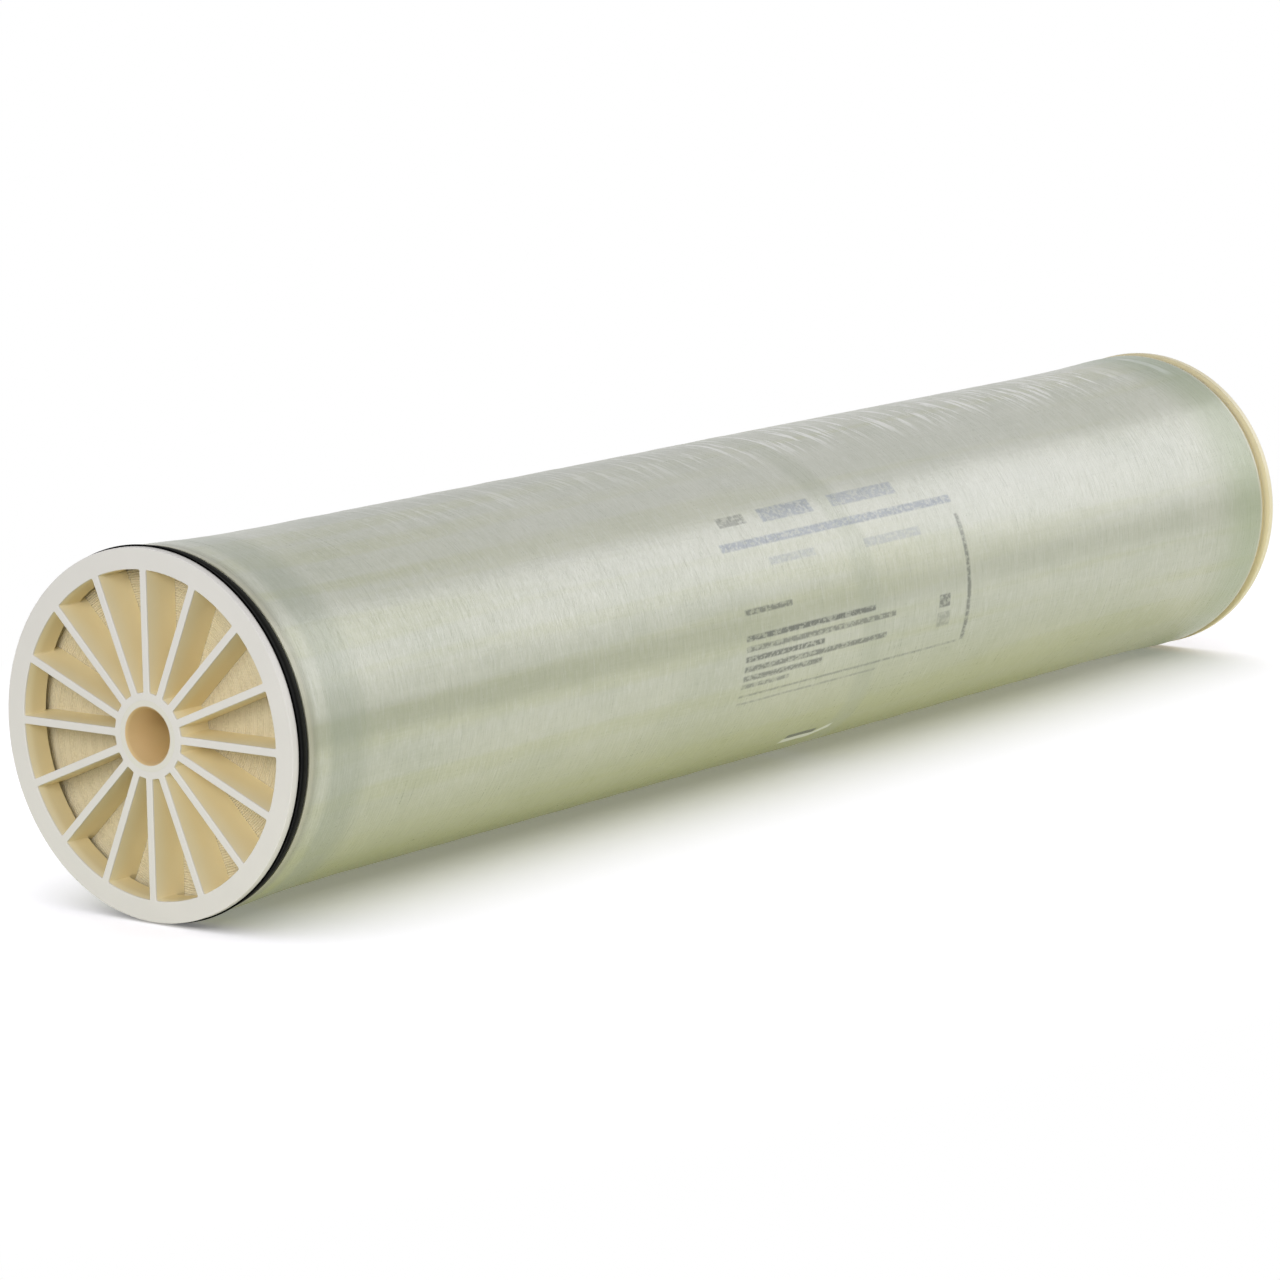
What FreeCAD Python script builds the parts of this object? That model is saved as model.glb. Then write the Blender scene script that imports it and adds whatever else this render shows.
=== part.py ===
"""Spiral-wound reverse osmosis membrane element, 8 inch by 40 inch.

The element stands on its brine end. Its axis is +Z, its origin is the centre of the brine end
face, and its feed end, with the brine seal, is at the top. Lengths are in millimetres.
"""
import FreeCAD, Part

import math
import os

# ---- Driving dimensions ---------------------------------------------------------------------

element_length = 1016.0          # over both end faces, 40 inches

# Fibreglass shell, wound over the roll and the caps' collars
shell_outer_radius = 96.5        # along its middle
shell_wall = 2.0
shell_build_up = 2.8             # extra glass and resin at its ends, which lap on to the caps
shell_taper_length = 78.0        # from each end down to the middle

# End caps (anti-telescoping devices), one at each end, from one mould
rim_proud = 0.4                  # the rim's flange stands out past the shell's ends
rim_flange_width = 4.6
seal_groove_width = 9.2          # between the flange and the end of the shell
shell_lap = 2.7                  # the shell covers this much of the cap's collar
collar_wall = 6.4
rib_stand_off = 5.9              # the ribs and the hub reach past the collar, to bear on the roll
rib_count = 16
rib_thickness = 4.3
hub_wall = 3.95

# Permeate tube
tube_seat_radius = 14.3          # 1 1/8 inch bore for the interconnector's O-rings
tube_wall = 4.75                 # at the seats, to an outside of 1 1/2 inch
tube_seat_length = 70.0
tube_core_step = 0.7             # the unmachined bore between the seats is this much tighter
tube_mouth_chamfer = 1.5
permeate_hole_radius = 2.4
permeate_hole_count = 4          # along a helix, a quarter turn apart
permeate_hole_end_distance = 90.0  # from the end of the membrane roll to the first hole

# Membrane roll
leaf_count = 8
leaf_thickness = 3.8             # a sealed leaf as wound
spacer_thickness = 4.2           # feed spacer net, as wound
flats_per_turn = 24              # chords that stand for one turn of a wound sheet
carrier_wrap_thickness = 0.8     # permeate carrier cloth round the tube
tape_thickness = 0.4             # tape that holds the roll closed under the shell

# Brine seal, a U-cup that opens towards the feed end
seal_side_gap = 0.3
seal_lip_proud = 1.0             # the free lip stands out past the rim's flange
seal_lip_thickness = 1.3
seal_heel_height = 3.4           # above the floor of the groove
seal_heel_thickness = 3.4

# ---- Derived dimensions -----------------------------------------------------------------------

shell_inner_radius = shell_outer_radius - shell_wall
shell_end_radius = shell_outer_radius + shell_build_up
shell_start = rim_flange_width + seal_groove_width
shell_end = element_length - shell_start
rim_outer_radius = shell_end_radius + rim_proud
rim_inner_radius = shell_inner_radius - collar_wall
collar_depth = shell_start + shell_lap
cap_depth = collar_depth + rib_stand_off
tube_outer_radius = tube_seat_radius + tube_wall
hub_outer_radius = tube_outer_radius + hub_wall
roll_start = cap_depth
roll_end = element_length - cap_depth
roll_inner_radius = tube_outer_radius + carrier_wrap_thickness
roll_outer_radius = shell_inner_radius - tape_thickness
sheet_spacing = leaf_thickness + spacer_thickness
wound_edge_start = roll_inner_radius / 4  # a wound edge starts at this radius, inside the tube


def polar(radius, bearing):
    """A point in the plane across the axis, from its distance and its bearing in radians."""
    return FreeCAD.Vector(radius * math.cos(bearing), radius * math.sin(bearing), 0)


def ring(inner, outer, bottom, top):
    """A plain tube about the axis."""
    base = FreeCAD.Vector(0, 0, bottom)
    wall = Part.makeCylinder(outer, top - bottom, base)
    return wall.cut(Part.makeCylinder(inner, top - bottom, base))


def turned(profile):
    """A solid turned about the axis from a closed outline of (radius, height) points."""
    points = [FreeCAD.Vector(radius, 0, height) for radius, height in profile]
    outline = Part.makePolygon(points + points[:1])
    return Part.Face(outline).revolve(FreeCAD.Vector(), FreeCAD.Vector(0, 0, 1), 360)


# ---- End caps -----------------------------------------------------------------------------------

def end_cap():
    """One end cap: a flanged collar, a hub on the permeate tube, and ribs that join the two.

    It is made with its outer face down, at height 0.
    """
    rim = turned([
        (rim_inner_radius, 0),
        (rim_outer_radius, 0),
        (rim_outer_radius, rim_flange_width),
        (shell_inner_radius, rim_flange_width),
        (shell_inner_radius, collar_depth),
        (rim_inner_radius, collar_depth),
    ])
    hub = ring(tube_outer_radius, hub_outer_radius, 0, cap_depth)
    rib_start = (tube_outer_radius + hub_outer_radius) / 2
    rib_end = (rim_inner_radius + shell_inner_radius) / 2
    ribs = []
    for index in range(rib_count):
        rib = Part.makeBox(rib_end - rib_start, rib_thickness, cap_depth,
                           FreeCAD.Vector(rib_start, -rib_thickness / 2, 0))
        rib.rotate(FreeCAD.Vector(), FreeCAD.Vector(0, 0, 1), 360 / rib_count * index)
        ribs.append(rib)
    return rim.fuse([hub] + ribs).removeSplitter()


def at_feed_end(piece):
    """Turn a piece that was made for the brine end over, to its place at the feed end."""
    moved = piece.copy()
    moved.rotate(FreeCAD.Vector(), FreeCAD.Vector(1, 0, 0), 180)
    moved.translate(FreeCAD.Vector(0, 0, element_length))
    return moved


# ---- Brine seal -----------------------------------------------------------------------------------

def brine_seal():
    """The U-cup in the feed cap's groove. It is made for a cap with its outer face down."""
    front = rim_flange_width + seal_side_gap
    back = shell_start - seal_side_gap
    root = back - seal_heel_thickness
    floor = shell_inner_radius
    lip = rim_outer_radius + seal_lip_proud
    return turned([
        (floor, front),
        (floor + seal_lip_thickness, front),
        (floor + seal_lip_thickness, root),
        (lip - seal_lip_thickness, front),
        (lip, front),
        (floor + seal_heel_height, back),
        (floor, back),
    ])


# ---- Permeate tube ----------------------------------------------------------------------------------

def permeate_tube():
    """The product water tube, with a machined seat in each end and holes drilled through its wall."""
    mouth = tube_seat_radius + tube_mouth_chamfer
    core = tube_seat_radius - tube_core_step
    top = element_length
    tube = turned([
        (mouth, 0),
        (tube_outer_radius, 0),
        (tube_outer_radius, top),
        (mouth, top),
        (tube_seat_radius, top - tube_mouth_chamfer),
        (tube_seat_radius, top - tube_seat_length),
        (core, top - tube_seat_length - tube_core_step),
        (core, tube_seat_length + tube_core_step),
        (tube_seat_radius, tube_seat_length),
        (tube_seat_radius, tube_mouth_chamfer),
    ])
    first = roll_start + permeate_hole_end_distance
    last = roll_end - permeate_hole_end_distance
    drill_length = 2 * tube_outer_radius
    for index in range(permeate_hole_count):
        height = first + (last - first) * index / (permeate_hole_count - 1)
        outwards = polar(1, math.pi / 2 * index)
        tube = tube.cut(Part.makeCylinder(permeate_hole_radius, drill_length,
                                          FreeCAD.Vector(0, 0, height), outwards))
    return tube


# ---- Fibreglass shell -----------------------------------------------------------------------------

def fiberglass_shell():
    """Glass roving wound in resin: an even wall that builds up over the collar of each cap."""
    return turned([
        (shell_inner_radius, shell_start),
        (shell_end_radius, shell_start),
        (shell_outer_radius, shell_start + shell_taper_length),
        (shell_outer_radius, shell_end - shell_taper_length),
        (shell_end_radius, shell_end),
        (shell_inner_radius, shell_end),
    ])


# ---- Membrane roll ------------------------------------------------------------------------------------

def wound_edge(offset):
    """Points along one edge of a wound sheet, seen from the end, from the tube outwards.

    A sheet wound with others unrolls from a polygon that has a corner for each sheet pair and a
    side as long as one leaf and one spacer are thick: it turns about each corner in turn, and all
    the sheets lie face to face.
    """
    turn = 2 * math.pi / leaf_count
    corner_distance = sheet_spacing / (2 * math.sin(turn / 2))
    flats = round(flats_per_turn / leaf_count)
    radius = wound_edge_start + offset
    points = []
    corners = 0
    while radius < roll_outer_radius + corner_distance + sheet_spacing:
        bearing = turn * corners
        first = bearing - math.pi / 2 - turn / 2
        for flat in range(flats + 1):
            points.append(polar(corner_distance, bearing) + polar(radius, first + turn * flat / flats))
        corners += 1
        radius += sheet_spacing
    return points


def wound_sheet(offset, thickness, index):
    """One sheet of the roll, wound outwards from the tube, between two of its wound edges."""
    inner = wound_edge(offset)
    outer = wound_edge(offset + thickness)
    outline = inner + outer[::-1] + inner[:1]
    outline = [point for point, after in zip(outline, outline[1:]) if not point.isEqual(after, 1e-6)]
    band = Part.Face(Part.makePolygon(outline + outline[:1]))
    band.translate(FreeCAD.Vector(0, 0, roll_start))
    sheet = band.extrude(FreeCAD.Vector(0, 0, roll_end - roll_start))
    sheet = sheet.common(ring(roll_inner_radius, roll_outer_radius, roll_start, roll_end))
    sheet.rotate(FreeCAD.Vector(), FreeCAD.Vector(0, 0, 1), 360 / leaf_count * index)
    return sheet


# ---- Assembly -------------------------------------------------------------------------------------------

brine_end_cap = end_cap()
pieces = {
    "brine_end_cap": brine_end_cap,
    "feed_end_cap": at_feed_end(brine_end_cap),
    "brine_seal": at_feed_end(brine_seal()),
    "fiberglass_shell": fiberglass_shell(),
    "roll_tape": ring(roll_outer_radius, shell_inner_radius, roll_start, roll_end),
    "carrier_wrap": ring(tube_outer_radius, roll_inner_radius, roll_start, roll_end),
    "permeate_tube": permeate_tube(),
}
for index in range(leaf_count):
    pieces[f"membrane_leaf_{index + 1}"] = wound_sheet(0, leaf_thickness, index)
    pieces[f"feed_spacer_{index + 1}"] = wound_sheet(leaf_thickness, spacer_thickness, index)

os.makedirs("parts", exist_ok=True)
for name, shape in pieces.items():
    shape.exportStep(f"parts/{name}.step")
    print(f"{name}: {len(shape.Solids)} solid, {shape.Volume / 1000:.1f} cm3")
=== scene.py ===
import bmesh
import bpy
import numpy as np
from mathutils import Matrix, Vector


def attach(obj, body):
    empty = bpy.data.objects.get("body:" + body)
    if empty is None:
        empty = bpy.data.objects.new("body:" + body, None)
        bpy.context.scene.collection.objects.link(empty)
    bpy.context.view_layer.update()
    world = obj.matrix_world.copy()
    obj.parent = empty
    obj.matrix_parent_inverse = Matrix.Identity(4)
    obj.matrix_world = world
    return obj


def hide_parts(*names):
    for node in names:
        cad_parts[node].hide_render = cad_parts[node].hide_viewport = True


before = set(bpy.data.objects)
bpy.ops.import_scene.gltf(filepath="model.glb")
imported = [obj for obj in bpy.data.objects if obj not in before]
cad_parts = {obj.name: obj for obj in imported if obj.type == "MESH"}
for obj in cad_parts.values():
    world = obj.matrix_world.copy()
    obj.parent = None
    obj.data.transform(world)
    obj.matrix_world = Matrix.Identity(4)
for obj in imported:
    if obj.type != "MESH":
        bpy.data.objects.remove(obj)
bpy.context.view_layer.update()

# ==== Studio =======================================================================================
# The element lies on a white sweep on its +Y side, just clear of the seal's lip. Soft boxes light it
# from beyond both ends and, through the sweep, from below. None of this belongs to the element.

scene = bpy.context.scene
scene.view_settings.view_transform = "Standard"

mm = 0.001
element_length = 1016.0

camera_place = Vector((-1.7275, -0.4861, 2.9092))
camera_aim = Vector((-0.0153, 0.0084, 0.6033))
camera_top = Vector((-0.0187, -1, 0))
camera_back = (camera_place - camera_aim).normalized()
camera_right = camera_top.cross(camera_back).normalized()
camera_up = camera_back.cross(camera_right)
camera = bpy.data.objects.new("camera", bpy.data.cameras.new("camera"))
camera.matrix_world = Matrix.Translation(camera_place) @ Matrix(
    (camera_right, camera_up, camera_back)).transposed().to_4x4()
camera.data.lens = 139.58
camera.data.sensor_width = 36
camera.data.clip_end = 100
scene.collection.objects.link(camera)
scene.camera = camera


class Signal:
    """One output of a shader node. Sums, differences, products and powers of signals and numbers
    add Math nodes, and so does abs().
    """

    def __init__(self, finish, socket):
        self.finish = finish
        self.socket = socket

    def math(self, operation, *values):
        return self.finish.math(operation, *values)

    def __add__(self, other):
        return self.math("ADD", self, other)

    def __sub__(self, other):
        return self.math("SUBTRACT", self, other)

    def __rsub__(self, other):
        return self.math("SUBTRACT", other, self)

    def __mul__(self, other):
        return self.math("MULTIPLY", self, other)

    def __pow__(self, other):
        return self.math("POWER", self, other)

    def __abs__(self):
        return self.math("ABSOLUTE", self)

    __radd__ = __add__
    __rmul__ = __mul__

    def between(self, low, high):
        """0 below low, 1 above high and a smooth step from one to the other."""
        return self.finish.node("ShaderNodeMapRange", {"interpolation_type": "SMOOTHSTEP"},
                                {0: self, 1: low, 2: high})


class Finish:
    """The procedural material of one finish, or the world's, and the nodes that it is made of."""

    def __init__(self, name, world=None):
        self.material = world or bpy.data.materials.new(name)
        self.material.use_nodes = True
        self.tree = self.material.node_tree
        self.tree.nodes.clear()

    def node(self, kind, settings=None, sockets=None, output=0):
        """A node of a kind: its settings first, then the values or links of its sockets."""
        made = self.tree.nodes.new(kind)
        for name, value in (settings or {}).items():
            setattr(made, name, value)
        for name, value in (sockets or {}).items():
            if isinstance(value, Signal):
                self.tree.links.new(value.socket, made.inputs[name])
            else:
                made.inputs[name].default_value = value
        return Signal(self, made.outputs[output])

    def math(self, operation, *values):
        """A Math node on signals or numbers."""
        return self.node("ShaderNodeMath", {"operation": operation}, dict(enumerate(values)))

    def mix(self, share, first, second):
        """A colour that goes from the first to the second as the share goes from 0 to 1."""
        colours = {6: first, 7: second}
        colours = {k: v if isinstance(v, Signal) else (*v, 1) for k, v in colours.items()}
        return self.node("ShaderNodeMix", {"data_type": "RGBA"}, {0: share, **colours}, 2)

    def place(self):
        """The point on the piece, in millimetres."""
        metres = self.node("ShaderNodeTexCoord", output=3)
        return self.node("ShaderNodeVectorMath", {"operation": "SCALE"}, {0: metres, 3: 1 / mm})

    def parts(self, point):
        """The three parts of a point, along X, Y and Z."""
        return [self.node("ShaderNodeSeparateXYZ", {}, {0: point}, index) for index in range(3)]

    def noise(self, point, stretch, detail=2.0, roughness=0.5):
        """Noise from 0 to 1, whose grain along each axis is one over the stretch, in millimetres."""
        spread = self.node("ShaderNodeVectorMath", {"operation": "MULTIPLY"}, {0: point, 1: stretch})
        return self.node("ShaderNodeTexNoise", {},
                         {"Vector": spread, "Scale": 1.0, "Detail": detail, "Roughness": roughness})

    def surface(self, bump, **sockets):
        """Ends the material with one Principled surface; bump is a height in millimetres."""
        named = {name.replace("_", " ").title().replace("Ior", "IOR"): value
                 for name, value in sockets.items()}
        named["Normal"] = self.node(
            "ShaderNodeBump", {}, {"Strength": 1.0, "Distance": mm, "Height": bump})
        self.end_with(self.node("ShaderNodeBsdfPrincipled", {}, named))
        return self.material

    def end_with(self, shader, kind="ShaderNodeOutputMaterial"):
        """Ends the nodes with this shader."""
        out = self.tree.nodes.new(kind)
        self.tree.links.new(shader.socket, out.inputs["Surface"])

    def looked_at(self):
        """1 for the camera's, glossy and transmission rays, which show the white background."""
        camera_ray, glossy_ray, transmission_ray = [
            self.node("ShaderNodeLightPath", output=index) for index in (0, 3, 6)]
        return self.math("MAXIMUM", self.math("MAXIMUM", camera_ray, glossy_ray), transmission_ray)


sweep_height = 0.1008
sweep_reach = 7.0
sweep_mesh = bpy.data.meshes.new("sweep")
sweep_mesh.from_pydata(
    [(x, sweep_height, z) for x, z in ((-1, -1), (1, -1), (1, 1), (-1, 1))], [], [(0, 1, 2, 3)])
sweep_mesh.transform(Matrix.Diagonal((sweep_reach, 1, sweep_reach, 1)))
sweep = bpy.data.objects.new("sweep", sweep_mesh)
scene.collection.objects.link(sweep)

# Near the element the paper takes light and shadow, further out it is an even white, and it is clear
# from its back and to shadow rays. What it throws back on the element is dimmer and more olive.
paper_white = (0.96, 0.95, 1.0)
bounce_tint = (0.40, 0.41, 0.26)
paper_glow = 0.14
bounce_strength = 0.2
blank_start = 300
blank_end = 620
share_along = 0.5

paper = Finish("sweep_paper")
seen = paper.looked_at()
matt = paper.node("ShaderNodeBsdfDiffuse", {}, {"Color": paper.mix(seen, bounce_tint, paper_white)})
glow = paper.node("ShaderNodeEmission", {}, {"Strength": paper_glow * seen})
near = paper.node("ShaderNodeAddShader", {}, {0: matt, 1: glow})
blank_strength = bounce_strength + (1 - bounce_strength) * seen
blank = paper.node("ShaderNodeEmission", {}, {"Strength": blank_strength})
across, _, along = paper.parts(paper.place())
from_middle = paper.node(
    "ShaderNodeCombineXYZ", {}, {0: across, 2: (along - element_length / 2) * share_along})
distance = paper.node("ShaderNodeVectorMath", {"operation": "LENGTH"}, {0: from_middle}, 1)
lit = paper.node(
    "ShaderNodeMixShader", {}, {0: distance.between(blank_start, blank_end), 1: near, 2: blank})
clear = paper.node("ShaderNodeBsdfTransparent")
shadow_ray = paper.node("ShaderNodeLightPath", output=1)
backfacing = paper.node("ShaderNodeNewGeometry", output=6)
unseen = paper.math("MAXIMUM", backfacing, shadow_ray)
paper.end_with(paper.node("ShaderNodeMixShader", {}, {0: unseen, 1: lit, 2: clear}))
sweep_mesh.materials.append(paper.material)

scene.world = bpy.data.worlds.new("studio")
sky = Finish("studio", scene.world)
ambient_strength = 0.28
sky_strength = ambient_strength + (1 - ambient_strength) * sky.looked_at()
sky.end_with(sky.node("ShaderNodeBackground", {}, {"Color": (1, 1, 1, 1), "Strength": sky_strength}),
             "ShaderNodeOutputWorld")

element_middle = Vector((0, 0, element_length / 2 * mm))
sweep_alone = bpy.data.collections.new("sweep_alone")
all_but_sweep = bpy.data.collections.new("all_but_sweep")
for group in (sweep_alone, all_but_sweep):
    group.objects.link(sweep)
all_but_sweep.collection_objects[0].light_linking.link_state = "EXCLUDE"


def soft_box(name, direction, distance, width, height, power, lights=all_but_sweep):
    """A rectangular lamp at a distance from the element's middle, turned towards it. It lights only
    what its collection names: the sweep alone, or all but the sweep.
    """
    lamp = bpy.data.objects.new(name, bpy.data.lights.new(name, "AREA"))
    lamp.data.shape = "RECTANGLE"
    lamp.data.size = width
    lamp.data.size_y = height
    lamp.data.energy = power
    way = Vector(direction).normalized()
    lamp.matrix_world = Matrix.LocRotScale(
        element_middle + way * distance, way.to_track_quat("Z", "Y"), None)
    lamp.light_linking.receiver_collection = lights
    scene.collection.objects.link(lamp)


soft_box("far_box", (-0.476, -0.432, -0.766), 3.2, 1.9, 2.0, 43.5)
soft_box("front_box", (-0.35, -0.30, 1.0), 2.9, 1.2, 1.2, 39)
# These two shine up through the sweep.
soft_box("low_box", (-0.8, 0.9, 0.0), 2.4, 1.2, 1.2, 19)
soft_box("back_box", (0.75, 0.60, -0.10), 2.6, 1.6, 1.6, 4)
# The sweep's lamp is so wide that the shadow is as soft as under an overcast sky.
soft_box("sweep_box", (0.15, -1, 0.05), 2.0, 10.0, 10.0, 332, sweep_alone)

# ==== Permeate tube ================================================================================
# An extruded and drilled plastic tube down the middle. It collects the product water from the
# leaves, and its bored ends take the O-rings of the connectors between elements.


def quads(rows, columns, rows_close, columns_close):
    """The four corners of each face of a grid; a direction that closes joins its end to its start."""
    r, c = np.meshgrid(np.arange(rows - (not rows_close)), np.arange(columns - (not columns_close)),
                       indexing="ij")
    r2, c2 = (r + 1) % rows, (c + 1) % columns
    corners = [r * columns + c, r * columns + c2, r2 * columns + c2, r2 * columns + c]
    return np.stack(corners, -1).reshape(-1, 4)


# Both in metres, as the meshes are.
weld_gap = 2e-6
sliver_size = 1e-6


def make_piece(name, patches, material, crease=40.0):
    """A closed mesh in millimetres from patches: each is a grid of points, and whether its rows and
    its columns close. The patches are welded where they touch, and edges over the crease are sharp.
    """
    starts = np.cumsum([0] + [grid.shape[0] * grid.shape[1] for grid, _, _ in patches])
    points = np.concatenate([grid.reshape(-1, 3) for grid, _, _ in patches])
    faces = np.concatenate([quads(*grid.shape[:2], rows_close, columns_close) + start
                            for (grid, rows_close, columns_close), start in zip(patches, starts)])
    mesh = bpy.data.meshes.new(name)
    mesh.from_pydata((points * mm).tolist(), [], faces.tolist())
    return finish_piece(name, mesh, material, crease)


def finish_piece(name, mesh, material, crease):
    """Welds a mesh, turns its faces outwards, smooths it up to the crease and makes its object."""
    work = bmesh.new()
    work.from_mesh(mesh)
    bmesh.ops.remove_doubles(work, verts=work.verts, dist=weld_gap)
    bmesh.ops.dissolve_degenerate(work, edges=work.edges, dist=sliver_size)
    bmesh.ops.recalc_face_normals(work, faces=work.faces)
    if work.calc_volume(signed=True) < 0:
        bmesh.ops.reverse_faces(work, faces=work.faces)
    work.to_mesh(mesh)
    work.free()
    mesh.shade_smooth()
    mesh.set_sharp_from_angle(angle=np.radians(crease))
    mesh.materials.clear()
    mesh.materials.append(material)
    made = bpy.data.objects.new(name, mesh)
    scene.collection.objects.link(made)
    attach(made, "root")
    return made


tube_mouth_radius = 15.8
mouth_blur = 0.3
tube_end_colour = (0.78, 0.76, 0.70)
tube_tan = (0.64, 0.45, 0.21)
tube_tan_pale = (0.70, 0.51, 0.27)
tube_bore_shade = (0.38, 0.26, 0.09)

tube_plastic = Finish("tube_plastic")
point = tube_plastic.place()
x, y, z = tube_plastic.parts(point)
radius = (x * x + y * y) ** 0.5
end_gap = element_length / 2 - abs(z - element_length / 2)
inside = 1 - radius.between(tube_mouth_radius - mouth_blur, tube_mouth_radius + mouth_blur)
cloud = tube_plastic.noise(point, (0.05, 0.05, 0.02), 3)
tan = tube_plastic.mix(cloud, tube_tan, tube_tan_pale)
# Painted shade: the bore is painted darker further in from each end, where less light reaches.
tan = tube_plastic.mix(end_gap.between(2, 34) * 0.75, tan, tube_bore_shade)
tube_colour = tube_plastic.mix(inside, tube_end_colour, tan)
saw = tube_plastic.noise(point, (2.0, 2.0, 0.4), 2)
tube_material = tube_plastic.surface(
    base_color=tube_colour, roughness=0.38 + 0.08 * cloud, bump=0.02 * saw)

tube_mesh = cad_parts["permeate_tube"].data.copy()
tube = finish_piece("product_tube", tube_mesh, tube_material, 25)
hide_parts("permeate_tube")

# ==== Permeate carrier wrap ========================================================================
# A few turns of knitted polyester round the tube, under the leaves. It leads the product water to
# the holes, and the glue line of each leaf starts on it.

cloth_grey = (0.62, 0.60, 0.54)
cloth_white = (0.78, 0.77, 0.71)

cloth = Finish("carrier_cloth")
point = cloth.place()
rib_lines = cloth.noise(point, (3.0, 3.0, 0.2), 1)
fuzz = cloth.noise(point, (1.5, 1.5, 1.5), 2)
cloth_material = cloth.surface(
    base_color=cloth.mix(rib_lines, cloth_grey, cloth_white),
    roughness=0.75 + 0.1 * fuzz, bump=0.15 * rib_lines)
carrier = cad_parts["carrier_wrap"]
carrier.data.materials.clear()
carrier.data.materials.append(cloth_material)

# ==== Membrane leaves and feed spacers ==============================================================
# Leaves of membrane glued round a sheet of carrier cloth, with a net of feed spacer between each
# pair. All start on the tube and are wound together, so that each unrolls from a polygon.

leaf_count = 8
leaf_thickness = 3.8
spacer_thickness = 4.2
sheet_spacing = leaf_thickness + spacer_thickness
roll_start = 22.4
roll_end = element_length - roll_start
roll_inner_radius = 19.85
roll_outer_radius = 94.1
wound_edge_start = roll_inner_radius / 4
corner_count = 16
steps_per_corner = 9
past_corner = 1e-9
layer_count = 3
rows_per_layer = 3
cut_depth = 0.55


def wound(offset, progress):
    """Points of a sheet's face. A string unrolled from a polygon turns about one corner after the
    other: corner number is the whole part of progress, the turn about it is the rest, and each
    corner adds one spacing to the radius. The points are kept between the tube and the tape.
    """
    turn = 2 * np.pi / leaf_count
    corner = np.floor(progress)
    corner_distance = sheet_spacing / (2 * np.sin(turn / 2))
    radius = wound_edge_start + offset + sheet_spacing * corner
    bearing = turn * progress - np.pi / 2 - turn / 2
    x = corner_distance * np.cos(turn * corner) + radius * np.cos(bearing)
    y = corner_distance * np.sin(turn * corner) + radius * np.sin(bearing)
    reach = np.hypot(x, y)
    kept = np.clip(reach, roll_inner_radius, roll_outer_radius) / reach
    return x * kept, y * kept, reach


def wound_sheet(offset, thickness, index):
    """One sheet as a closed band: across it go the layers at the feed end, from the inner face to the
    outer one, and back those at the brine end, and along it goes the winding. Where two layers meet,
    and at both faces, the cut end lies deeper. Each sheet is the first one, turned by its index.
    """
    progress = np.linspace(0, corner_count, corner_count * steps_per_corner + 1)[:-1] + past_corner
    first = wound(offset + thickness, progress)[2] > roll_inner_radius
    last = wound(offset, progress)[2] < roll_outer_radius
    progress = progress[first & last]
    share = np.linspace(0, 1, layer_count * rows_per_layer + 1)
    sunk = cut_depth * (np.arange(share.size) % rows_per_layer == 0)
    width = offset + thickness * np.concatenate([share, share[::-1]])
    height = np.concatenate([roll_end - sunk, (roll_start + sunk)[::-1]])
    x, y, _ = wound(width[:, None], progress[None, :])
    turn = 2 * np.pi / leaf_count * index
    z = np.broadcast_to(height[:, None], x.shape)
    band = np.stack([x * np.cos(turn) - y * np.sin(turn), x * np.sin(turn) + y * np.cos(turn), z], -1)
    tips = np.broadcast_to(band[:, [0, -1]].mean(0), (len(width), 2, 3))
    return np.concatenate([tips[:, :1], band, tips[:, 1:]], 1)


leaf_cream = (0.61, 0.54, 0.37)
leaf_cream_pale = (0.71, 0.63, 0.45)
leaf_speck = (0.74, 0.69, 0.52)

leaf_film = Finish("leaf_edge")
point = leaf_film.place()
streak = leaf_film.noise(point, (0.25, 0.25, 0.05), 3)
speck = leaf_film.noise(point, (1.6, 1.6, 1.0), 2)
leaf_colour = leaf_film.mix(streak, leaf_cream, leaf_cream_pale)
leaf_material = leaf_film.surface(
    base_color=leaf_film.mix(speck.between(0.35, 0.75) * 0.3, leaf_colour, leaf_speck),
    roughness=0.5 + 0.2 * speck, bump=0.05 * speck)

net_cream = (0.59, 0.52, 0.35)
net_cream_pale = (0.69, 0.62, 0.44)

net_strand = Finish("spacer_net")
mesh_gap = net_strand.noise(net_strand.place(), (0.8, 0.8, 0.8), 2)
net_material = net_strand.surface(
    base_color=net_strand.mix(mesh_gap.between(0.3, 0.7), net_cream, net_cream_pale),
    roughness=0.55 + 0.15 * mesh_gap, bump=0.1 * mesh_gap)

for index in range(leaf_count):
    leaf_band = wound_sheet(0, leaf_thickness, index)
    leaf = make_piece(f"leaf_{index + 1}", [(leaf_band, True, False)], leaf_material)
    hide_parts(f"membrane_leaf_{index + 1}")
    net_band = wound_sheet(leaf_thickness, spacer_thickness, index)
    net = make_piece(f"net_{index + 1}", [(net_band, True, False)], net_material)
    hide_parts(f"feed_spacer_{index + 1}")

# ==== Roll tape ====================================================================================
# Clear plastic tape, wound once round the roll. It holds the leaves closed until the fibreglass is
# on, and stays under it.

tape_shade = (0.60, 0.58, 0.46)
tape_pale = (0.70, 0.68, 0.56)

film = Finish("roll_tape")
ripple = film.noise(film.place(), (0.03, 0.03, 0.3), 3)
tape_material = film.surface(
    base_color=film.mix(ripple, tape_shade, tape_pale),
    roughness=0.25 + 0.1 * ripple, bump=0.1 * ripple)
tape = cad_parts["roll_tape"]
tape.data.materials.clear()
tape.data.materials.append(tape_material)

# ==== End caps =====================================================================================
# Moulded plastic wheels that stop the roll from telescoping: a flanged rim, sixteen ribs and a hub
# that fits on the tube. Their ivory plastic is painted with light and shade: near white on the lit
# outer faces, tan on the walls that turn in, and darker deeper in.

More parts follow.
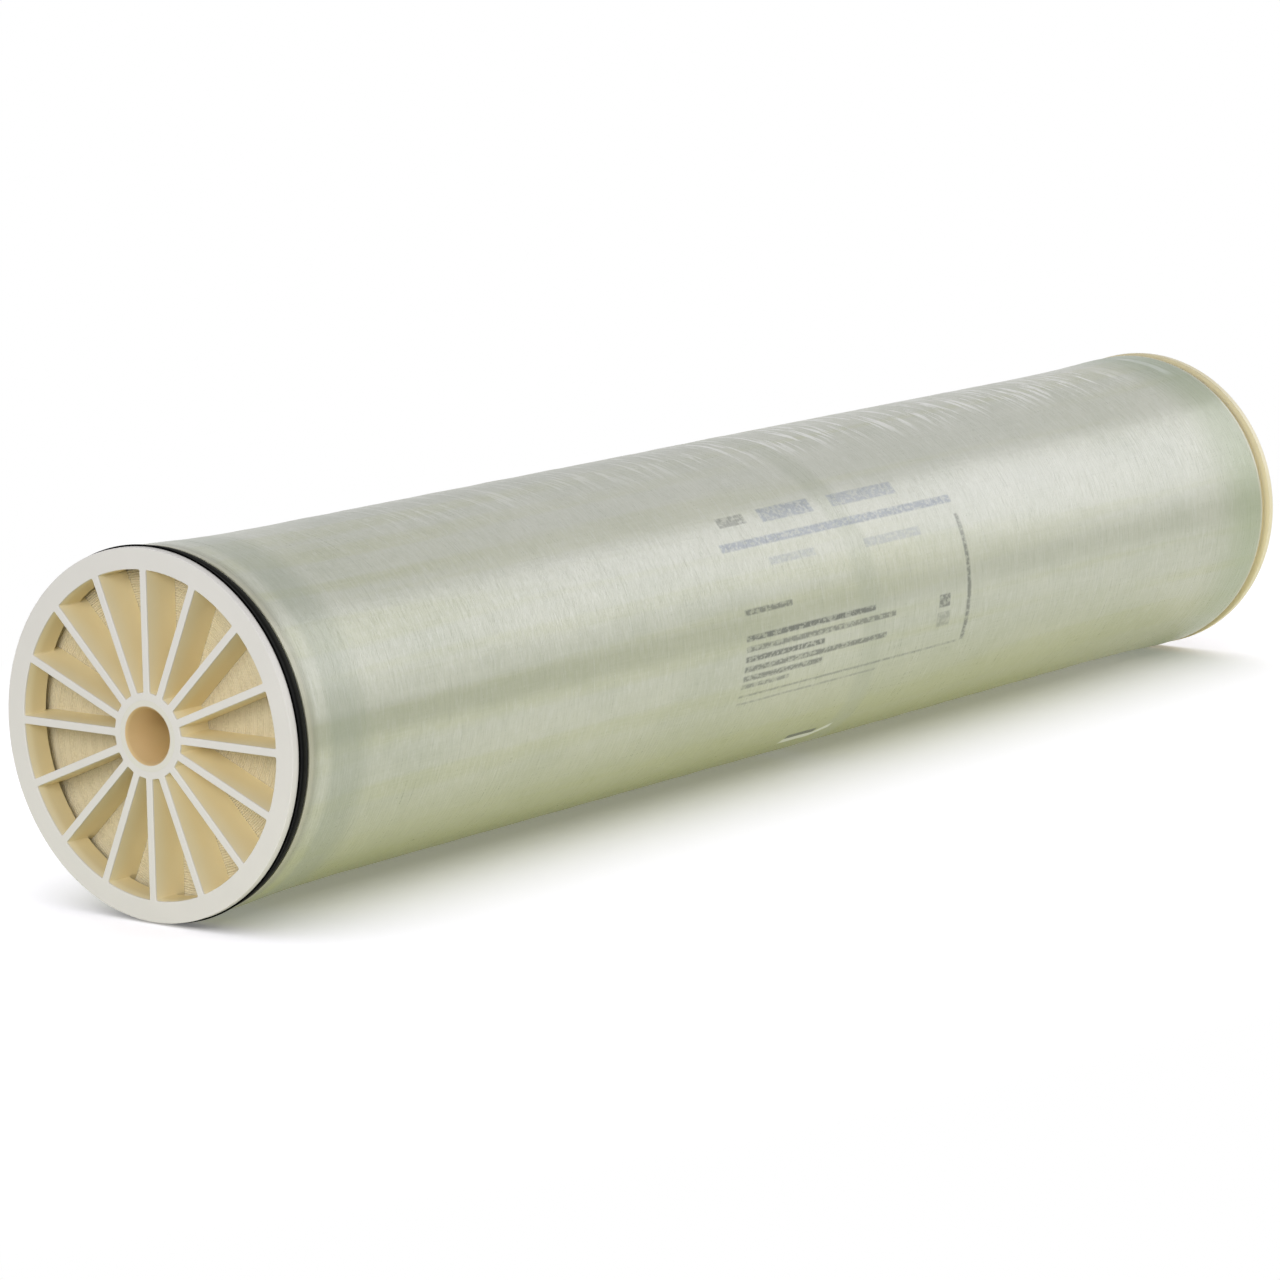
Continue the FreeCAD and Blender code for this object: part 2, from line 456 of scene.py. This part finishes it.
rib_count = 16
rib_thickness = 4.3
rim_outer_radius = 99.7
rim_inner_radius = 88.1
collar_radius = 94.5
flange_width = 4.6
flange_rounds = [0, 0.4, 0.3, 0.3, 0]
collar_depth = 16.5
cap_depth = roll_start
hub_outer_radius = 23.0
hub_inner_radius = 19.05
rib_reach = (rim_inner_radius + collar_radius) / 2
face_edge = rim_outer_radius - 1.3
corner_radius = 0.9
edge_radius = 0.4
edge_margin = 0.35
draft_depth = 2.5
upper_draft = 0.05
full_draft = 0.25


def softened(corners, rounds, steps=4):
    """A closed outline with its corners softened: each corner is a quadratic curve that starts and
    ends its round's length away from the corner, on the lines to its neighbours.
    """
    corners = np.array(corners, float)
    rounds = np.broadcast_to(np.array(rounds, float), len(corners))[:, None]
    before = np.roll(corners, 1, 0) - corners
    after = np.roll(corners, -1, 0) - corners
    start = corners + before / np.linalg.norm(before, axis=1, keepdims=True) * rounds
    end = corners + after / np.linalg.norm(after, axis=1, keepdims=True) * rounds
    t = np.linspace(0, 1, steps + 1)[None, :, None]
    curve = (1 - t) ** 2 * start[:, None] + 2 * t * (1 - t) * corners[:, None] + t ** 2 * end[:, None]
    return curve.reshape(-1, 2)


def turned(profile, bearings):
    """A profile of (radius, height) rows carried round the axis: a column for each bearing."""
    radius, height = np.array(profile, float).T[:, :, None]
    x, y = radius * np.cos(bearings), radius * np.sin(bearings)
    return np.stack([x, y, np.broadcast_to(height, x.shape)], -1)


rib_half_turn = np.pi / rib_count
corner_inset = rib_thickness / 2 + corner_radius
hub_track = hub_outer_radius + corner_radius
rim_track = rim_inner_radius - corner_radius
hub_turn = rib_half_turn - np.arcsin(corner_inset / hub_track)
rim_turn = rib_half_turn - np.arcsin(corner_inset / rim_track)
rib_end_turn = rib_half_turn - np.arcsin(rib_thickness / 2 / rib_reach)
hub_arc = np.linspace(0, hub_turn, 3)
hub_fan = np.linspace(hub_turn, rib_half_turn, 6)
rib_side = np.linspace(hub_track, rim_track, 4)
rim_fan = np.linspace(rib_half_turn, rim_turn, 6)
rim_arc = np.linspace(rim_turn, 0, 8)


def polar(reach, bearing):
    """Points from their distances from the axis and their bearings."""
    reach, bearing = np.broadcast_arrays(reach, bearing)
    return np.stack([reach * np.cos(bearing), reach * np.sin(bearing)], -1)


def window(edge):
    """Half of a window's outline, from the middle of its hub side to the middle of its rim side: a
    smaller outline pushed out along its normals by the corner radius and the edge.
    """
    hub_corner, rim_corner = polar(hub_track, hub_turn), polar(rim_track, rim_turn)
    to_rib = rib_half_turn + np.pi / 2
    share = np.linspace(0, 1, len(rib_side))[:, None]
    centre = np.concatenate([
        polar(hub_track, hub_arc), np.repeat(hub_corner[None], len(hub_fan), 0),
        hub_corner + (rim_corner - hub_corner) * share,
        np.repeat(rim_corner[None], len(rim_fan), 0), polar(rim_track, rim_arc)])
    way = np.concatenate([
        hub_arc + np.pi, np.linspace(hub_turn + np.pi, to_rib, len(hub_fan)),
        np.full(len(rib_side), to_rib), np.linspace(to_rib, rim_turn, len(rim_fan)), rim_arc])
    return centre + polar(corner_radius + edge, way)


def joined(hub_radius, rim_radius):
    """The points that half a window's outline joins: on a circle round the hub, along the middle of
    the rib, and on a circle round the rim.
    """
    reach = np.concatenate([
        np.full(len(hub_arc) + len(hub_fan) + 1, hub_radius), rib_side[1:-1],
        np.full(1 + len(rim_fan) + len(rim_arc), rim_radius)])
    bearing = np.concatenate([
        hub_arc, hub_fan, np.full(len(rib_side), rib_half_turn), rim_fan, rim_arc])
    return polar(reach, bearing)


def layer(*rows):
    """A patch over half of one window's share of the wheel, from rows of (half outline, height)."""
    return np.stack([np.concatenate([half, np.full((len(half), 1), height)], 1)
                     for half, height in rows])


def wheel():
    """The patches of one cap, its outer face at height 0: those of half a window and their mirror
    images, sixteen times. A window's edge is a quarter circle, and its walls lean in with depth.
    """
    bend = np.linspace(0, np.pi / 2, 5)
    foot = window(-full_draft)
    lead = [(joined(hub_inner_radius, face_edge), 0), (window(edge_radius + edge_margin), 0)]
    lip = [(window(edge_radius * (1 - np.sin(a))), edge_radius * (1 - np.cos(a))) for a in bend]
    walls = [(window(-upper_draft), draft_depth), (foot, collar_depth)]
    rib_part = len(hub_arc) + len(hub_fan) + len(rib_side)
    end_point = polar(rib_reach, rib_end_turn)[None]
    rim_ring = np.concatenate([
        polar(rib_reach, np.linspace(rib_end_turn, rim_turn, len(rim_fan))), polar(rib_reach, rim_arc)])
    side_foot = np.concatenate([foot[:rib_part], end_point])
    side_join = np.concatenate([joined(hub_inner_radius, rib_reach)[:rib_part],
                                polar(rib_reach, rib_half_turn)[None]])
    rib_tip = np.concatenate([polar(rib_reach, rib_half_turn)[None], rim_ring])
    tip_edge = np.concatenate([end_point, rib_tip[:1]])
    rim_bearings = np.concatenate([[rib_half_turn], rim_fan, rim_arc])
    hub_bearings = np.concatenate([hub_arc, hub_fan])
    flange = softened(
        [(face_edge, 0), (rim_outer_radius, 0), (rim_outer_radius, flange_width),
         (collar_radius, flange_width), (collar_radius, collar_depth)], flange_rounds)
    parts = [
        layer(*lead, *lip, *walls),
        layer((foot[rib_part:], collar_depth), (rim_ring, collar_depth)),
        layer((rib_tip, collar_depth), (polar(collar_radius, rim_bearings), collar_depth)),
        layer((side_foot, collar_depth), (side_foot, cap_depth), (side_join, cap_depth)),
        layer((tip_edge, collar_depth), (tip_edge, cap_depth)),
        layer((polar(hub_inner_radius, hub_bearings), 0),
              (polar(hub_inner_radius, hub_bearings), cap_depth)),
        layer(*[(polar(radius, rim_bearings), height) for radius, height in flange]),
    ]
    mirror = [np.array([1, 1, 1]), np.array([1, -1, 1])]
    patches = []
    for index in range(rib_count):
        a = rib_half_turn * (2 * index + 1)
        spin = np.array([[np.cos(a), np.sin(a), 0], [-np.sin(a), np.cos(a), 0], [0, 0, 1]])
        patches += [((part * side) @ spin, False, False) for part in parts for side in mirror]
    return patches


cap_white = (0.76, 0.74, 0.72)
cap_white_pale = (0.82, 0.795, 0.775)
cap_tan = (0.91, 0.77, 0.46)
cap_tan_pale = (0.95, 0.84, 0.56)
cap_lit_cream = (0.95, 0.90, 0.72)
cap_wall_shade = (0.62, 0.51, 0.27)
cap_side_tan = (0.88, 0.80, 0.56)


def cap_plastic(name, depth, rim_side_shade):
    """The caps' plastic, painted with light and shade: near white on the lit outer face, tan where the
    walls turn in, by the depth under that face, which is a function of z. The tan is paler near the
    face and darker down the rim's inner wall. The rim's side is painted tan by the last argument, as
    shade.
    """
    plastic = Finish(name)
    point = plastic.place()
    x, y, z = plastic.parts(point)
    radius = (x * x + y * y) ** 0.5
    outside = radius.between(95.0, 97.0)
    # Painted shade and light: the rim's inner wall is painted deeper tan from 3 mm in, and the tan is
    # painted paler near the face.
    wall_shade = radius.between(86.8, 87.6) * depth(z).between(3, 8)
    lit_near_face = 1 - depth(z).between(2.0, 13.0)
    inner = depth(z).between(0.5, 1.5) * (1 - outside)
    side = depth(z).between(0.2, 0.8) * outside
    cloud = plastic.noise(point, (0.045, 0.045, 0.06), 3)
    grain = plastic.noise(point, (1.2, 1.2, 1.2), 2)
    tan = plastic.mix(cloud, cap_tan, cap_tan_pale)
    tan = plastic.mix(lit_near_face * 0.45, tan, cap_lit_cream)
    tan = plastic.mix(wall_shade * 0.4, tan, cap_wall_shade)
    white = plastic.mix(cloud, cap_white, cap_white_pale)
    colour = plastic.mix(inner, white, tan)
    colour = plastic.mix(side, colour, plastic.mix(rim_side_shade, white, cap_side_tan))
    return plastic.surface(base_color=colour, roughness=0.42 + 0.1 * grain, bump=0.03 * grain)


# The two caps are one plastic: the brine cap's rim side is painted tan, as shade, and the feed cap's
# stays near white where it is lit.
feed_plastic = cap_plastic("feed_cap_plastic", lambda z: element_length - z, 0.05)
brine_plastic = cap_plastic("brine_cap_plastic", lambda z: z, 1.0)
brine_cap = make_piece("brine_cap", wheel(), brine_plastic, 35)
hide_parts("brine_end_cap")
feed_cap = make_piece(
    "feed_cap", [(grid * [1, -1, -1] + [0, 0, element_length], a, b) for grid, a, b in wheel()],
    feed_plastic, 35)
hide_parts("feed_end_cap")

# ==== Fibreglass shell =============================================================================
# Glass roving in resin, wound wet over the roll and over the collar of each cap, and cured to a
# glossy grey-green skin. It is thickest over the collars, and its hoops stand a little uneven.

shell_start = 13.8
shell_end = element_length - shell_start
shell_inner_radius = collar_radius
# Places along the shell, from the feed end, and the outer radius at each.
shell_stations = [
    (shell_start, 99.1), (24, 99.1), (58, 97.15), (100, 96.2), (460, 96.45), (540, 96.8), (890, 96.9),
    (950, 97.75), (980, 99.15), (shell_end, 99.25)]
taper_spread = 8.0
wave_count = 26
shortest_wave = 14
longest_wave = 60
wave_height = 0.035
wave_fade = 30
skin_rows = 300
skin_bearings = np.linspace(0, 2 * np.pi, 240, endpoint=False)


def shell_skin():
    """The shell's outside: its radius at each distance from the feed end follows the stations,
    smoothed by a bell-shaped mean, and stands up to 0.17 mm higher or lower in hoops. The hoops are
    sine waves along the shell that swing with the bearing, and they fade out at the shell's ends.
    """
    from_feed = np.linspace(shell_start, shell_end, skin_rows)[:, None]
    bearing = skin_bearings[None, :]
    fine = np.arange(-60, element_length + 60, 1.0)
    bell = np.exp(-0.5 * (np.arange(-3 * taper_spread, 3 * taper_spread + 1) / taper_spread) ** 2)
    smooth = np.convolve(np.interp(fine, *np.array(shell_stations).T), bell / bell.sum(), "same")
    radius = np.interp(from_feed, fine, smooth)
    waves = np.random.default_rng(7)
    hoops = 0
    for _ in range(wave_count):
        length = waves.uniform(shortest_wave, longest_wave)
        shift, turn = waves.uniform(0, 2 * np.pi, 2)
        around = waves.integers(1, 4)
        swing = shift + 0.8 * np.sin(bearing + turn)
        strength = (0.6 + 0.4 * np.cos(around * bearing + turn)) * length / longest_wave
        hoops = hoops + strength * np.sin(2 * np.pi * from_feed / length + swing)
    fade = np.clip(np.minimum(from_feed - shell_start, shell_end - from_feed) / wave_fade, 0, 1)
    radius = radius + wave_height * hoops * fade
    z = np.broadcast_to(element_length - from_feed, radius.shape)
    return np.stack([radius * np.cos(bearing), radius * np.sin(bearing), z], -1)


bore = turned([(shell_inner_radius, shell_start), (shell_inner_radius, shell_end)], skin_bearings)

# Along the shell places are counted from the feed end in millimetres, and round it in degrees, as
# phi: 0 on the -Y side and 90 on the -X side.
glass = Finish("wound_fiberglass")
point = glass.place()
x, y, z = glass.parts(point)
from_feed = element_length - z
phi = glass.math("ARCTAN2", -1 * x, -1 * y) * (180 / np.pi)
tilted = glass.node("ShaderNodeCombineXYZ", {}, {0: x, 1: y, 2: z + 0.055 * x - 0.03 * y})
hoop = glass.noise(point, (0.012, 0.012, 1.3), 3, 0.6)
crossing = glass.noise(tilted, (0.05, 0.05, 0.75), 3, 0.6)
lengthways = glass.noise(point, (0.8, 0.8, 0.03), 2)
swell = glass.noise(tilted, (0.016, 0.016, 0.11), 3, 0.6)
long_band = glass.noise(point, (0.055, 0.055, 0.0014), 2)
patch = glass.noise(point, (0.02, 0.02, 0.012), 4, 0.6)
mottle = glass.noise(tilted, (0.13, 0.13, 0.50), 5, 0.7)
streak = glass.noise(tilted, (0.022, 0.022, 0.20), 4, 0.65)

grey_green = (0.470, 0.495, 0.395)
pale = (0.625, 0.633, 0.535)
olive = (0.430, 0.450, 0.130)
dark_fibre = (0.36, 0.39, 0.29)

# Broad painted bands of light and shade: painted olive light and shade on the lower sides, for the glow
# of light in the clear resin and the bounce from below, darker painted shade on the underside near the
# feed end and along the top towards it, painted highlights along the upper side and nearer the far end,
# and a painted dark reflection as a line along the side.
lower_side_shade = abs(phi).between(95, 165) * (0.85 - 0.35 * from_feed.between(760, 940))
underside_shade = abs(phi).between(130, 165) * (1 - from_feed.between(300, 980))
top_shade = abs(phi + 10).between(22, 10) * from_feed.between(90, 160)
top_shade = top_shade * (1 - from_feed.between(420, 620))
sheen = abs(phi - 42).between(30, 14) * from_feed.between(150, 300)
sheen = sheen * (1 - from_feed.between(720, 860))
far_sheen = abs(phi - 65).between(20, 8) * from_feed.between(560, 680)
far_sheen = far_sheen * (1 - from_feed.between(900, 960))
dark_reflection_line = abs(phi - 86.2).between(7.0, 1.5) * (0.42 - from_feed.between(0, 600) * 0.22)

# The laps over the two collars, with the glue behind the feed cap's collar and the cut far end.
# Painted shade darkens the shell just behind the seal. The far lap is darker green, partly in its own
# tone and partly as painted shade, most on top, and a painted glint crosses it.
feed_shade = from_feed.between(24, 17)
feed_lap = 1 - from_feed.between(15.5, 18.5)
glue_line = from_feed.between(27, 36) * (1 - from_feed.between(50, 74))
far_lap = from_feed.between(935, 990)
far_top_shade = far_lap * abs(phi).between(45, 5)
far_glint = abs(from_feed - 982).between(5, 2) * abs(phi - 11).between(15, 8)
far_edge = from_feed.between(999.5, 1001)

# Painted glints along the top, on low ridges of resin that the bump raises there too, and a faint
# slanted seam round the middle, which doesn't close: it steps on the +Y side, where phi jumps from
# 180 to -180.
ridge_and_glint_reach = 0.35 * from_feed.between(120, 200) + 0.65 * from_feed.between(380, 560)
ridge_and_glint_reach = ridge_and_glint_reach * (1 - from_feed.between(900, 960))
ridge_and_glint = streak.between(0.52, 0.59) * abs(phi - 5).between(25, 7) * ridge_and_glint_reach
seam = abs(from_feed - 506 - 0.25 * phi - 14 * patch).between(16, 6)

shell_tones = [
    (0.5 * hoop + 0.5 * patch.between(0.3, 0.7), pale),
    (long_band.between(0.46, 0.62) * 0.22, olive),
    (lengthways.between(0.35, 0.75) * 0.26, pale),
    (crossing.between(0.55, 0.75) * 0.30, (0.68, 0.69, 0.63)),
    (crossing.between(0.45, 0.25) * 0.30, dark_fibre),
    (mottle.between(0.50, 0.64) * 0.25, (0.72, 0.73, 0.68)),
    (mottle.between(0.46, 0.34) * 0.20, dark_fibre),
    # Painted light and shade, down to the painted dark reflection line.
    (lower_side_shade, olive),
    (underside_shade * 0.5, (0.22, 0.24, 0.05)),
    (top_shade * 0.35, (0.30, 0.32, 0.26)),
    (sheen * 0.22, (0.76, 0.76, 0.72)),
    (far_sheen * 0.25, (0.74, 0.75, 0.72)),
    (dark_reflection_line, (0.29, 0.31, 0.21)),
    # Painted shade just behind the seal.
    (feed_shade * 0.60, (0.28, 0.28, 0.19)),
    (feed_lap * 0.35, (0.66, 0.62, 0.48)),
    (glue_line * (0.2 + 0.5 * hoop), (0.30, 0.34, 0.25)),
    # The far lap's darker green is partly painted shade, and the glint across it is painted.
    (far_lap * (0.30 + 0.50 * patch), (0.31, 0.38, 0.20)),
    (far_top_shade * 0.6, (0.20, 0.27, 0.16)),
    (far_glint * 0.35, (0.85, 0.90, 0.86)),
    (far_edge * 0.5, (0.72, 0.67, 0.54)),
    # Painted glints on the ridges along the top.
    (ridge_and_glint * 0.90, (0.95, 0.95, 0.91)),
    (seam * 0.38, (0.42, 0.45, 0.34)),
]


def bar(start, end, low, high, soft=1.2):
    """1 on a printed bar, from start to end along the shell and from low to high round it, in
    millimetres from the feed end and in degrees, with soft edges.
    """
    middle, half = (start + end) / 2, (end - start) / 2
    ends = abs(from_feed - middle).between(half + soft, half - soft)
    turn, spread, blur = (low + high) / 2, (high - low) / 2, soft * 0.4
    return ends * abs(phi - turn).between(spread + blur, spread - blur)


# Broken bars stand for print, with no letters in them: start, end, low, high and strength.
blue_bars = [(403, 644, 56.0, 59.0, 0.85), (455, 507, 45.5, 51.0, 0.75), (527, 595, 46.0, 51.0, 0.70),
             (443, 489, 64.0, 66.8, 0.42), (540, 600, 65.0, 68.3, 0.45)]
grey_bars = [(413, 440, 46.0, 50.0, 0.65), (407, 455, 80.0, 82.0, 0.80), (407, 540, 89.0, 91.0, 0.95),
             (407, 562, 92.8, 94.8, 0.75), (407, 487, 96.4, 98.4, 0.90), (407, 554, 100.0, 102.0, 0.80),
             (407, 487, 103.4, 105.4, 0.80), (407, 455, 106.6, 108.2, 0.70),
             (407, 638, 110.8, 111.6, 0.60), (407, 551, 113.8, 114.6, 0.50),
             (610, 622, 91.5, 96.2, 0.85), (609, 623, 98.0, 103.4, 0.45), (641, 645, 63.6, 111, 0.80)]
blue_print = sum(strength * bar(*place) for *place, strength in blue_bars)
grey_print = sum(strength * bar(*place, 1.0) for *place, strength in grey_bars)
worn = glass.noise(point, (0.45, 0.45, 0.30), 2).between(0.36, 0.56)

# A flake of lifted resin under the middle, with a dark slit beside it. Its pale crescent is partly a
# painted highlight on the lifted edge.
flake_edge = phi + 3.5 * from_feed.between(526, 544) - 144.8
flake = abs(flake_edge).between(2.1, 1.1) * abs(from_feed - 520).between(25, 21)
slit = bar(498, 528, 140.6, 143.2, 1.0)

shell_tones += [
    (blue_print * (0.42 + 0.45 * worn), (0.19, 0.23, 0.31)),
    (grey_print * (0.40 + 0.60 * worn), (0.14, 0.15, 0.12)),
    # The flake's pale crescent is partly a painted highlight.
    (flake * 0.8, (0.93, 0.94, 0.88)),
    (slit * 0.95, (0.08, 0.09, 0.05)),
]
colour = grey_green
for share, tone in shell_tones:
    colour = glass.mix(share, colour, tone)

skin_material = glass.surface(
    base_color=colour, roughness=0.20 + 0.14 * hoop + 0.06 * lengthways, coat_weight=0.12,
    coat_roughness=0.25,
    bump=0.12 * hoop + 0.45 * crossing + 0.06 * lengthways + 0.8 * swell + 0.25 * ridge_and_glint)
shell = make_piece("shell", [(np.concatenate([shell_skin(), bore]), True, True)], skin_material, 50)
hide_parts("fiberglass_shell")

# ==== Brine seal ===================================================================================
# A black rubber U-cup that sits in the feed cap's groove. Its free lip opens towards the feed and
# is pushed against the vessel's wall by the pressure.

seal_front = 4.9
seal_crest = 10.6
# Each corner's radius, and how far it lies behind the seal's front.
seal_outline = [(94.5, 0), (95.9, 0), (96.0, 4.9), (97.0, 4.7), (99.4, 0), (100.7, 0), (98.9, 3.9),
                (99.6, 5.3), (99.3, 7.5), (97.6, 8.6), (94.5, 8.6)]
seal_rounds = [0.2, 0.5, 0.6, 0.6, 0.4, 0.4, 0.9, 0.8, 0.7, 0.5, 0.2]
seal_profile = softened(seal_outline, seal_rounds) * [1, -1] + [0, element_length - seal_front]
seal_bearings = np.linspace(0, 2 * np.pi, 288, endpoint=False)
rubber_black = (0.001, 0.001, 0.001)
rubber_highlight = (0.030, 0.030, 0.026)

rubber = Finish("seal_rubber")
point = rubber.place()
z = rubber.parts(point)[2]
rubber_speckle = rubber.noise(point, (0.25, 0.25, 0.25), 4)
flow = rubber.noise(point, (0.05, 0.05, 2.0), 2)
# Painted highlight: a thin lighter line along the seal's second ridge, broken by speckle.
crest_highlight = abs(element_length - z - seal_crest).between(2.0, 0.6) * (0.3 + 0.7 * rubber_speckle)
rubber_material = rubber.surface(
    base_color=rubber.mix(crest_highlight, rubber_black, rubber_highlight),
    roughness=0.45 + 0.18 * rubber_speckle, specular_ior_level=0.03, bump=0.04 * flow)
seal = make_piece("seal", [(turned(seal_profile, seal_bearings), True, True)], rubber_material, 50)
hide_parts("brine_seal")
